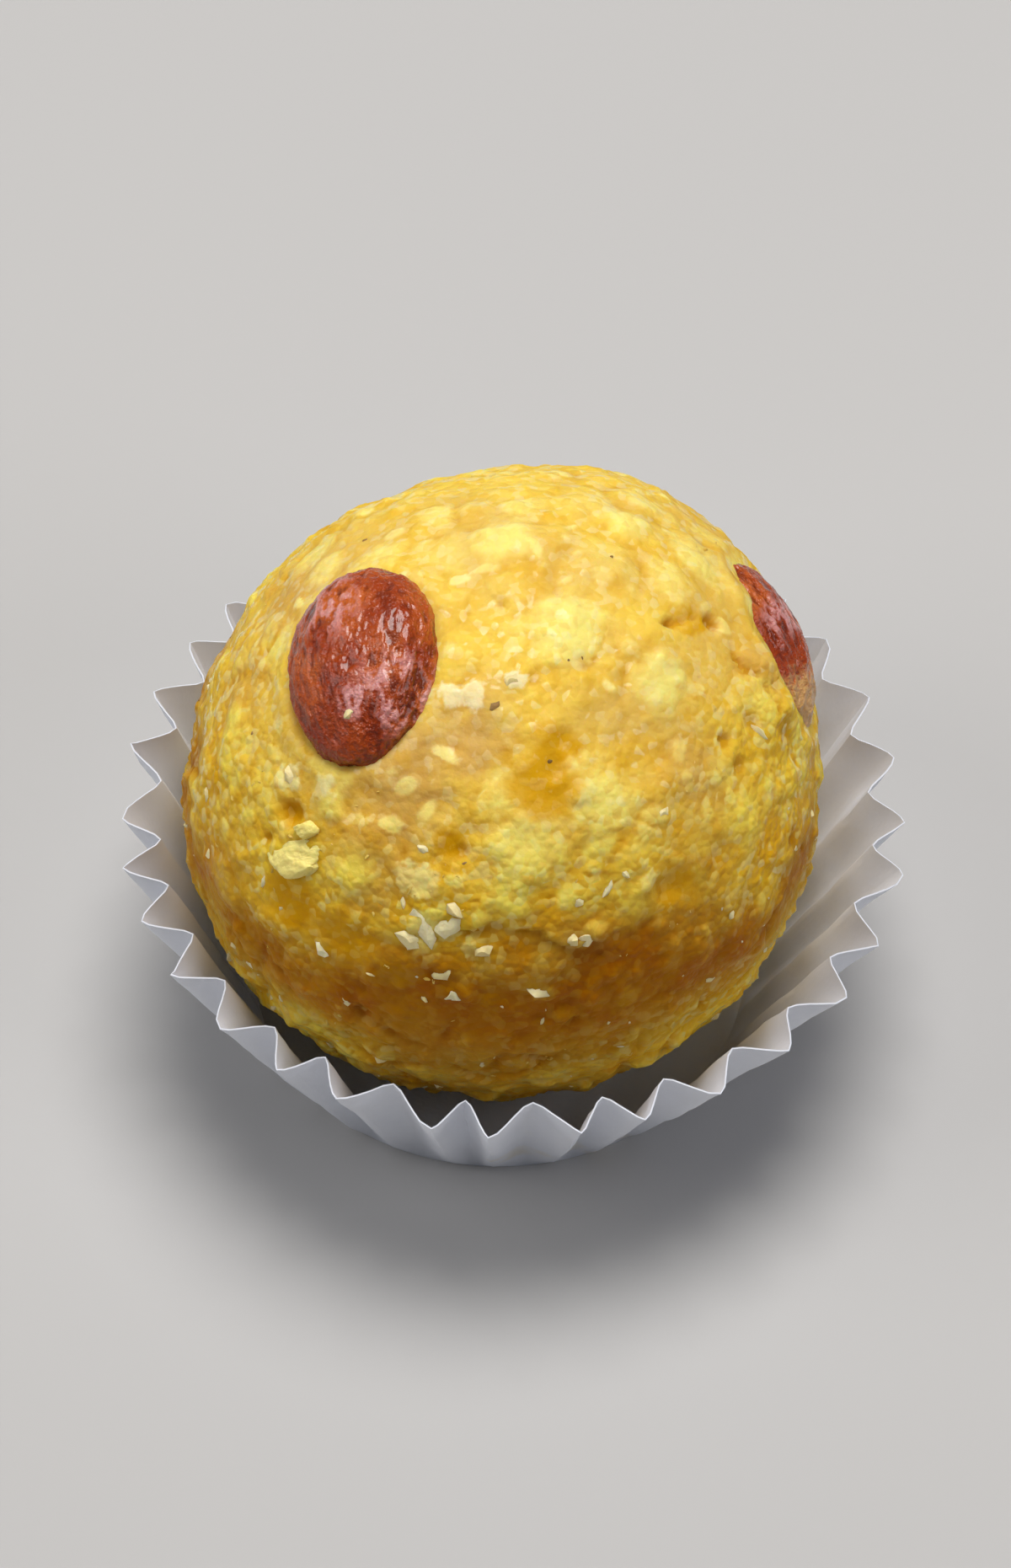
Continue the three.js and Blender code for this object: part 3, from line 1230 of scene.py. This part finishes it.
def broken_drop(number):
    """A drop broken on several sides: a block with its corners broken off and worn edges."""
    deselect()
    bpy.ops.mesh.primitive_cube_add(size=2)
    piece = named(f"broken_drop_{number}")
    bpy.ops.object.mode_set(mode="EDIT")
    draw = seeded_draws(BREAK_SEED + number)
    for _ in range(BREAKS):
        side = around_ball(draw, *BREAK_BAND)
        bpy.ops.mesh.select_all(action="SELECT")
        bpy.ops.mesh.bisect(
            plane_co=side * between(BREAK_PLACE, next(draw)),
            plane_no=side,
            use_fill=True,
            clear_outer=True,
        )
    bpy.ops.object.mode_set(mode="OBJECT")
    skin_over(piece, BREAK_VOXEL, BREAK_SMOOTHING)
    push_about(piece, Vector((number * BREAK_SHIFT[0], *BREAK_SHIFT[1:])), BREAK_PUSHES)
    return piece


def broken_drops(ball):
    """Drops broken on several sides that stick out of the paste."""
    trees = surfaces_of((ball,))
    chips = []
    for number, (right, up, wide, high, thick, turn, tint) in enumerate(BROKEN_DROPS):
        way = seen_at(right, up)
        hit, _ = outermost(trees, way)
        piece = broken_drop(number)
        sizes = (wide, high, thick)
        piece.data.transform(seat_on(way, hit - way * thick * BREAK_SUNK, turn, sizes))
        mark(piece, tint=np.full(len(piece.data.vertices), tint))
        chips.append(piece)
    return gathered("broken_drops", chips)


# Materials


class Shade:
    """A value in a material: its socket, with arithmetic that adds Math nodes."""

    def __init__(self, finish, socket):
        self.finish = finish
        self.socket = socket

    def __add__(self, other):
        return self.finish.maths("ADD", self, other)

    __radd__ = __add__

    def __sub__(self, other):
        return self.finish.maths("SUBTRACT", self, other)

    def __rsub__(self, other):
        return self.finish.maths("SUBTRACT", other, self)

    def __mul__(self, other):
        return self.finish.maths("MULTIPLY", self, other)

    __rmul__ = __mul__


class Finish:
    """A material under way: node() adds one node, and the rest call it."""

    def __init__(self, name):
        self.material = bpy.data.materials.new(name)
        self.material.use_nodes = True
        self.tree = self.material.node_tree
        self.shader = self.tree.nodes["Principled BSDF"]

    def feed(self, socket, value):
        if isinstance(value, Shade):
            self.tree.links.new(value.socket, socket)
        else:
            socket.default_value = value

    def node(self, kind, settings, inputs, output=0):
        made = self.tree.nodes.new(kind)
        for name, value in settings.items():
            setattr(made, name, value)
        for name, value in inputs.items():
            self.feed(made.inputs[name], value)
        return Shade(self, made.outputs[output])

    def maths(self, operation, first, second=0.0):
        return self.node("ShaderNodeMath", {"operation": operation}, {0: first, 1: second})

    def share(self, value, span, start=0.0, end=1.0):
        """The value's share of the way through a span, eased, from start to end."""
        return self.node(
            "ShaderNodeMapRange",
            {"interpolation_type": "SMOOTHSTEP"},
            {"Value": value, 1: span[0], 2: span[1], 3: start, 4: end},
        )

    def place(self):
        return self.node("ShaderNodeTexCoord", {}, {}, "Object")

    def axis(self, vector, name):
        return self.node("ShaderNodeSeparateXYZ", {}, {"Vector": vector}, name)

    def stretched(self, vector, scale):
        return self.node("ShaderNodeMapping", {}, {"Vector": vector, "Scale": scale})

    def strayed(self, vector, scale, stray):
        """The vector pushed about by noise, for uneven patterns."""
        inputs = {"Vector": vector, "Scale": scale, "Detail": 1.0}
        push = self.node("ShaderNodeTexNoise", {}, inputs, "Color")
        return self.node(
            "ShaderNodeVectorMath",
            {"operation": "MULTIPLY_ADD"},
            {0: push, 1: (stray,) * 3, 2: vector},
        )

    def marked(self, name):
        return self.node("ShaderNodeAttribute", {"attribute_name": name}, {}, "Fac")

    def cloud(self, vector, scale, detail=2.0, roughness=0.5):
        inputs = {"Vector": vector, "Scale": scale, "Detail": detail, "Roughness": roughness}
        return self.node("ShaderNodeTexNoise", {}, inputs, "Fac")

    def cells(self, vector, scale, output):
        """Distance to the middle of the nearest cell or its tint, softened where cells meet."""
        inputs = {"Vector": vector, "Scale": scale, "Smoothness": 0.35}
        return self.node("ShaderNodeTexVoronoi", {"feature": "SMOOTH_F1"}, inputs, output)

    def blend(self, share, first, second, kind="MIX"):
        settings = {"data_type": "RGBA", "blend_type": kind}
        return self.node("ShaderNodeMix", settings, {0: share, 6: first, 7: second}, 2)

    def bump(self, height, strength, distance):
        inputs = {"Height": height, "Strength": strength, "Distance": distance}
        return self.node("ShaderNodeBump", {}, inputs)

    def surface(self, **values):
        for name, value in values.items():
            self.feed(self.shader.inputs[name.replace("_", " ")], value)
        return self.material


def paint(red, green, blue):
    """Colour for a shader from the 0 to 255 values that a picture shows."""
    shares = [value / 255 for value in (red, green, blue)]
    return tuple(
        share / 12.92 if share <= 0.04045 else ((share + 0.055) / 1.055) ** 2.4
        for share in shares
    ) + (1.0,)


# Paints of the boondi
DULL_PASTE = paint(231, 191, 92)
BRIGHT_PASTE = paint(246, 208, 84)
DRY_PASTE = paint(216, 170, 92)
SOAKED_GRANULE = paint(230, 178, 26)
PALE_GRANULE = paint(255, 234, 146)
AMBER = paint(230, 172, 6)
PALE_DROP = paint(255, 236, 132)
SEAM = paint(218, 158, 8)
# Painted shade in the hollows
HOLLOW_SHADE = paint(206, 142, 6)
# Torn paste, darker still as painted shade under the ledge
TORN_AND_SHADED_PASTE = paint(192, 132, 6)
SYRUP = paint(218, 162, 0)
SUGAR = paint(252, 236, 186)
PALE_GRAIN = paint(255, 244, 190)
DARK_GRAIN = paint(214, 156, 16)
# Darker band low down: partly syrup soaked in, partly painted shade
SOAK_AND_SHADE_TINT = paint(196, 154, 40)
SIDE_TINT = paint(255, 247, 178)

# Paints of the raisins
DARK_SKIN = paint(156, 56, 16)
LIGHT_SKIN = paint(202, 100, 38)
# Painted shade at the raisins' lower ends
SHADED_END_SKIN = paint(142, 44, 6)
# Painted shade in the raisins' wrinkles
CREASE_SHADE = paint(106, 34, 18)
# Painted glint on the raisins' crests
PAINTED_GLINT = paint(222, 158, 154)
SMEARED_PASTE = paint(212, 170, 108)

# Paints of the paper and the floor
WHITE_PAPER = paint(230, 234, 244)
GREY_PAPER = paint(221, 225, 236)
FAT_STAIN = paint(220, 208, 176)
PALE_FLOOR = paint(194, 192, 190)
GREY_FLOOR = paint(190, 188, 186)

# Loose bits: name of the finish, darkest and palest paint, least roughness
CRUMB_LOOK = ("sugary crumb", paint(240, 212, 140), paint(252, 238, 192), 0.45)
BREAK_LOOK = ("broken drop", paint(246, 216, 104), paint(254, 234, 140), 0.5)
GRAIN_LOOK = ("fine grain", paint(222, 170, 48), paint(244, 208, 104), 0.42)
SPECK_LOOK = ("ground cardamom", paint(124, 90, 36), paint(184, 140, 78), 0.6)

# Heights and widths on the ball between which its colour changes; the darker band low down is
# partly syrup soaked in and partly painted shade
TOP_BAND = (29 * MM, 38 * MM)
SOAK_AND_SHADE_BAND = (32 * MM, 24 * MM)
SOAK_AND_SHADE_STRAY = 14 * MM
# The painted shade low down eases at the foot, as painted light from the paper below, and starts
# lower at the sides
FOOT_BAND = (22 * MM, 15 * MM)
SIDE_BAND = (8 * MM, 20 * MM)
SIDE_LIFT = 5.5 * MM
FOOT_SIDES = (6 * MM, 12 * MM)

# Fineness of the patterns, in waves to the metre
BROAD_WAVES = 130
PATCH_WAVES = 240
MIDDLE_WAVES = 640
FINE_WAVES = 2200
GRAIN_WAVES = 1900
GRAIN_STRAY_WAVES = 600
BLOTCH_WAVES = 300
CRINKLE_WAVES = 1300
SKIN_WAVES = 2600
MOTTLE_WAVES = 900
FIBRE_WAVES = 5200
STAIN_WAVES = 170
BIT_WAVES = 3600
FLOOR_WAVES = 6


def boondi_finish():
    """Pale drops and amber syrup in a grainy golden paste."""
    f = Finish("pressed boondi")
    place = f.place()
    high = f.axis(place, "Z")
    aside = f.maths("ABSOLUTE", f.axis(place, "X"))
    top = f.share(high, TOP_BAND)
    broad = f.cloud(place, BROAD_WAVES, 3)
    patch = f.cloud(f.stretched(place, (1, 1.1, 0.9)), PATCH_WAVES, 3, 0.6)
    middle = f.cloud(place, MIDDLE_WAVES, 3, 0.6)
    fine = f.cloud(place, FINE_WAVES, 2, 0.5)
    # Painted shade low down, partly syrup soaked in: it starts lower at the sides
    soak_and_shade = high + (broad - 0.5) * SOAK_AND_SHADE_STRAY + f.share(aside, SIDE_BAND, 0, SIDE_LIFT)
    # Painted light at the foot: less of the painted shade where the paper below throws light back
    foot = f.share(high, FOOT_BAND) * f.share(aside, FOOT_SIDES, 0.55, 1)
    low = f.share(soak_and_shade, SOAK_AND_SHADE_BAND) - foot
    granule = f.marked("granule")
    shade = f.marked("granule_tint")
    dry = f.marked("dry")
    syrup = f.marked("syrup")

    # Paste with its granules
    paste = f.blend(f.share(broad, (0.36, 0.64)), DULL_PASTE, BRIGHT_PASTE)
    paste = f.blend(dry * 0.75, paste, DRY_PASTE)
    soaked = f.share(shade, (0.4, 0.05)) * f.share(granule, (0, 0.35))
    paste = f.blend(soaked * (0.6 - 0.3 * top), paste, SOAKED_GRANULE)
    light = f.share(granule, (0.1, 0.6)) * f.share(shade, (0.35, 1))
    paste = f.blend(light * 0.85, paste, PALE_GRANULE)

    # Amber syrup and pale drops
    amber = f.share(patch + low * 0.05 - granule * 0.08, (0.48, 0.66)) * (1 - dry)
    amber = f.maths("MAXIMUM", amber * (0.85 - 0.35 * top), syrup)
    colour = f.blend(amber * 0.82, paste, AMBER)
    edge = f.marked("drop_edge") + (middle - 0.5) * 1.6 + (fine - 0.5) * 0.5
    drop = (1 - f.share(edge, (0.2, 1.2))) * f.share(f.marked("drop_tint"), (0.2, 0.9))
    drop *= f.share(f.marked("drop_gap") + (fine - 0.5) * 0.2, (0, 0.45))
    drop = f.maths("MAXIMUM", drop * 0.85, f.marked("pale")) * (1 - 0.7 * syrup)
    colour = f.blend(drop * 0.85, colour, PALE_DROP)

    # Seams, painted shade in hollows, torn places partly darkened by painted shade, and sugar
    colour = f.blend(f.marked("seam") * (0.6 - 0.25 * top), colour, SEAM)
    # Painted shade in the hollows
    colour = f.blend(f.share(f.marked("hollow"), (0.1, 0.8)) * 0.55, colour, HOLLOW_SHADE)
    # Torn places: partly the deeper colour of torn paste, partly painted shade under the ledge
    colour = f.blend(f.marked("lost") * 0.75, colour, TORN_AND_SHADED_PASTE)
    colour = f.blend(syrup * 0.6, colour, SYRUP)
    sugar = f.marked("sugary") + (fine - 0.5) * 1.2 + (middle - 0.5) * 0.8
    colour = f.blend(f.share(sugar, (0.2, 0.8)) * 0.75, colour, SUGAR)

    # Fine grain, and the darker band low down: partly syrup soaked in, partly painted shade
    uneven = f.strayed(place, GRAIN_STRAY_WAVES, 0.6 * MM)
    grain = 1 - f.cells(uneven, GRAIN_WAVES, "Distance")
    tint = f.cells(uneven, GRAIN_WAVES, "Color")
    grainy = (1 - 0.45 * top) * (1 - 0.6 * syrup) * f.share(broad, (0.35, 0.6), 0.6)
    colour = f.blend(f.share(tint, (0.5, 0.85)) * grainy * 0.5, colour, PALE_GRAIN)
    colour = f.blend(f.share(tint, (0.48, 0.15)) * grainy * 0.36, colour, DARK_GRAIN)
    # Darker band low down: partly syrup soaked in, partly painted shade
    colour = f.blend(low * (1 - 0.95 * syrup), colour, SOAK_AND_SHADE_TINT, "MULTIPLY")
    colour = f.blend(1 - top, colour, SIDE_TINT, "MULTIPLY")
    height = middle * 0.35 + fine * 0.3 + grain * grainy * 0.65
    oily = (1 - 0.6 * top) * (1 - 0.85 * low) * (1 - syrup)
    return f.surface(
        Base_Color=colour,
        Roughness=0.46 - 0.14 * amber - 0.06 * drop + 0.16 * fine,
        Normal=f.bump(height, 0.8, 0.3 * MM),
        Subsurface_Weight=0.5,
        Subsurface_Radius=(1.0, 0.6, 0.12),
        Subsurface_Scale=1.4 * MM,
        Specular_IOR_Level=0.06,
        Coat_Weight=f.share(tint, (0.58, 0.78)) * oily * 0.8,
        Coat_Roughness=0.14,
    )


def raisin_finish():
    """Glossy orange-brown skin, with painted shade in its wrinkles and at its lower ends, and
    painted pale glints on some crests.
    """
    f = Finish("raisin skin")
    place = f.place()
    blotch = f.cloud(place, BLOTCH_WAVES, 3)
    crinkle = f.cloud(place, CRINKLE_WAVES, 3, 0.6)
    fine = f.cloud(place, SKIN_WAVES, 2)
    wrinkle = f.marked("wrinkle")
    bloom = f.marked("bloom")
    dark_end = f.marked("dark_end")
    colour = f.blend(f.share(blotch, (0.36, 0.66)), DARK_SKIN, LIGHT_SKIN)
    # Painted shade over the raisins' lower ends
    colour = f.blend(dark_end * 0.6, colour, SHADED_END_SKIN)
    # Painted shade in the wrinkles, deeper where the glints are painted
    creased = f.share(wrinkle, (-0.2, -1.6)) * (0.6 + 0.25 * bloom)
    colour = f.blend(creased, colour, CREASE_SHADE)
    # Painted glints on the crests
    crest = f.share(wrinkle + (fine - 0.5) * 2.4, (-0.3, 0.9)) * bloom
    colour = f.blend(crest * 0.8, colour, PAINTED_GLINT)
    smear = f.share(f.marked("smear") + (fine - 0.5) * 0.8, (0.3, 0.75))
    colour = f.blend(smear * 0.8, colour, SMEARED_PASTE)
    return f.surface(
        Base_Color=colour,
        Roughness=0.16 + 0.14 * blotch + 0.35 * smear,
        Normal=f.bump(crinkle * 0.6 + 0.8 * fine, 0.95, 0.3 * MM),
        Subsurface_Weight=0.28,
        Subsurface_Radius=(1.0, 0.34, 0.1),
        Subsurface_Scale=1.8 * MM,
        Specular_IOR_Level=0.25,
        Coat_Weight=0.6 - 0.35 * dark_end,
        Coat_Roughness=0.1,
    )


def paper_finish():
    """Thin white paper, faintly mottled, with a few spots where fat has soaked in."""
    f = Finish("white paper")
    place = f.place()
    mottle = f.cloud(place, MOTTLE_WAVES, 3)
    fibre = f.cloud(f.stretched(place, (1, 1, 0.35)), FIBRE_WAVES, 2)
    stain = f.share(f.cloud(place, STAIN_WAVES, 2), (0.62, 0.74))
    low = f.share(f.marked("up_wall"), (0.75, 0.05))
    colour = f.blend(mottle * 0.5, WHITE_PAPER, GREY_PAPER)
    colour = f.blend(stain * low * 0.5, colour, FAT_STAIN)
    return f.surface(
        Base_Color=colour,
        Roughness=0.72,
        Normal=f.bump(fibre, 0.15, 0.1 * MM),
        Subsurface_Weight=0.15,
        Subsurface_Radius=(1.0, 0.95, 0.9),
        Subsurface_Scale=0.6 * MM,
        Specular_IOR_Level=0.3,
    )


def bit_finish(name, dark, pale, roughness):
    """Small bits of food, each in a tint of its own between dark and pale."""
    f = Finish(name)
    fine = f.cloud(f.place(), BIT_WAVES, 2)
    return f.surface(
        Base_Color=f.blend(f.marked("tint") * 0.75 + fine * 0.25, dark, pale),
        Roughness=roughness + 0.2 * fine,
        Normal=f.bump(fine, 0.5, 0.15 * MM),
        Subsurface_Weight=0.35,
        Subsurface_Radius=(1.0, 0.7, 0.25),
        Subsurface_Scale=0.8 * MM,
    )


def floor_finish():
    f = Finish("pale floor")
    tone = f.cloud(f.place(), FLOOR_WAVES, 2)
    return f.surface(Base_Color=f.blend(tone, PALE_FLOOR, GREY_FLOOR), Roughness=0.8)


def dress(piece, material, slot, *nodes):
    """Gives a piece its material, and its place among the solids."""
    piece.data.materials.clear()
    piece.data.materials.append(material)
    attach(piece, "root")
    if nodes:
        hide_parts(*nodes)


# Studio


def softbox(name, place, size, power, colour):
    deselect()
    bpy.ops.object.light_add(type="AREA", location=place)
    lamp = bpy.context.object
    lamp.name = name
    lamp.data.shape = "DISK"
    lamp.data.size = size
    lamp.data.energy = power
    lamp.data.color = colour
    lamp.rotation_euler = (LAMP_AIM - Vector(place)).to_track_quat("-Z", "Y").to_euler()


def studio():
    deselect()
    bpy.ops.mesh.primitive_circle_add(
        vertices=FLOOR_SIDES, radius=FLOOR_RADIUS, fill_type="NGON"
    )
    floor = named("floor")
    floor.data.materials.append(floor_finish())
    for lamp in LAMPS:
        softbox(*lamp)
    world = bpy.data.worlds.new("studio air")
    bpy.context.scene.world = world
    world.use_nodes = True
    air = world.node_tree.nodes["Background"]
    air.inputs["Color"].default_value = AIR_COLOUR
    air.inputs["Strength"].default_value = AIR_STRENGTH
    bpy.context.scene.view_settings.view_transform = "Standard"


def camera():
    aim = Vector((AIM_RIGHT, 0, (CAD_BOX[0].z + CAD_BOX[1].z) / 2 - AIM_DROP))
    back = Vector((0, -math.cos(CAMERA_RISE), math.sin(CAMERA_RISE)))
    bpy.ops.object.camera_add(location=aim + back * CAMERA_DISTANCE)
    eye = bpy.context.object
    eye.name = "camera"
    eye.rotation_euler = (-back).to_track_quat("-Z", "Y").to_euler()
    eye.data.lens = CAMERA_LENS
    eye.data.sensor_width = CAMERA_SENSOR
    eye.data.clip_start = CAMERA_NEAR
    bpy.context.scene.camera = eye


camera()
studio()
ball = boondi_ball()
dress(ball, boondi_finish(), "pressed_boondi", "boondi_ball")
raisin_skin = raisin_finish()
raisins = [raisin(node, *facts) for node, facts in RAISINS.items()]
for node, piece in zip(RAISINS, raisins):
    dress(piece, raisin_skin, "raisin_skin", node)
dress(paper_case(), paper_finish(), "white_paper", "paper_case")
dress(loose_crumbs(ball, raisins), bit_finish(*CRUMB_LOOK), "pressed_boondi")
dress(broken_drops(ball), bit_finish(*BREAK_LOOK), "pressed_boondi")
dress(fine_grains(ball), bit_finish(*GRAIN_LOOK), "pressed_boondi")
dress(cardamom_specks(ball), bit_finish(*SPECK_LOOK), "pressed_boondi")
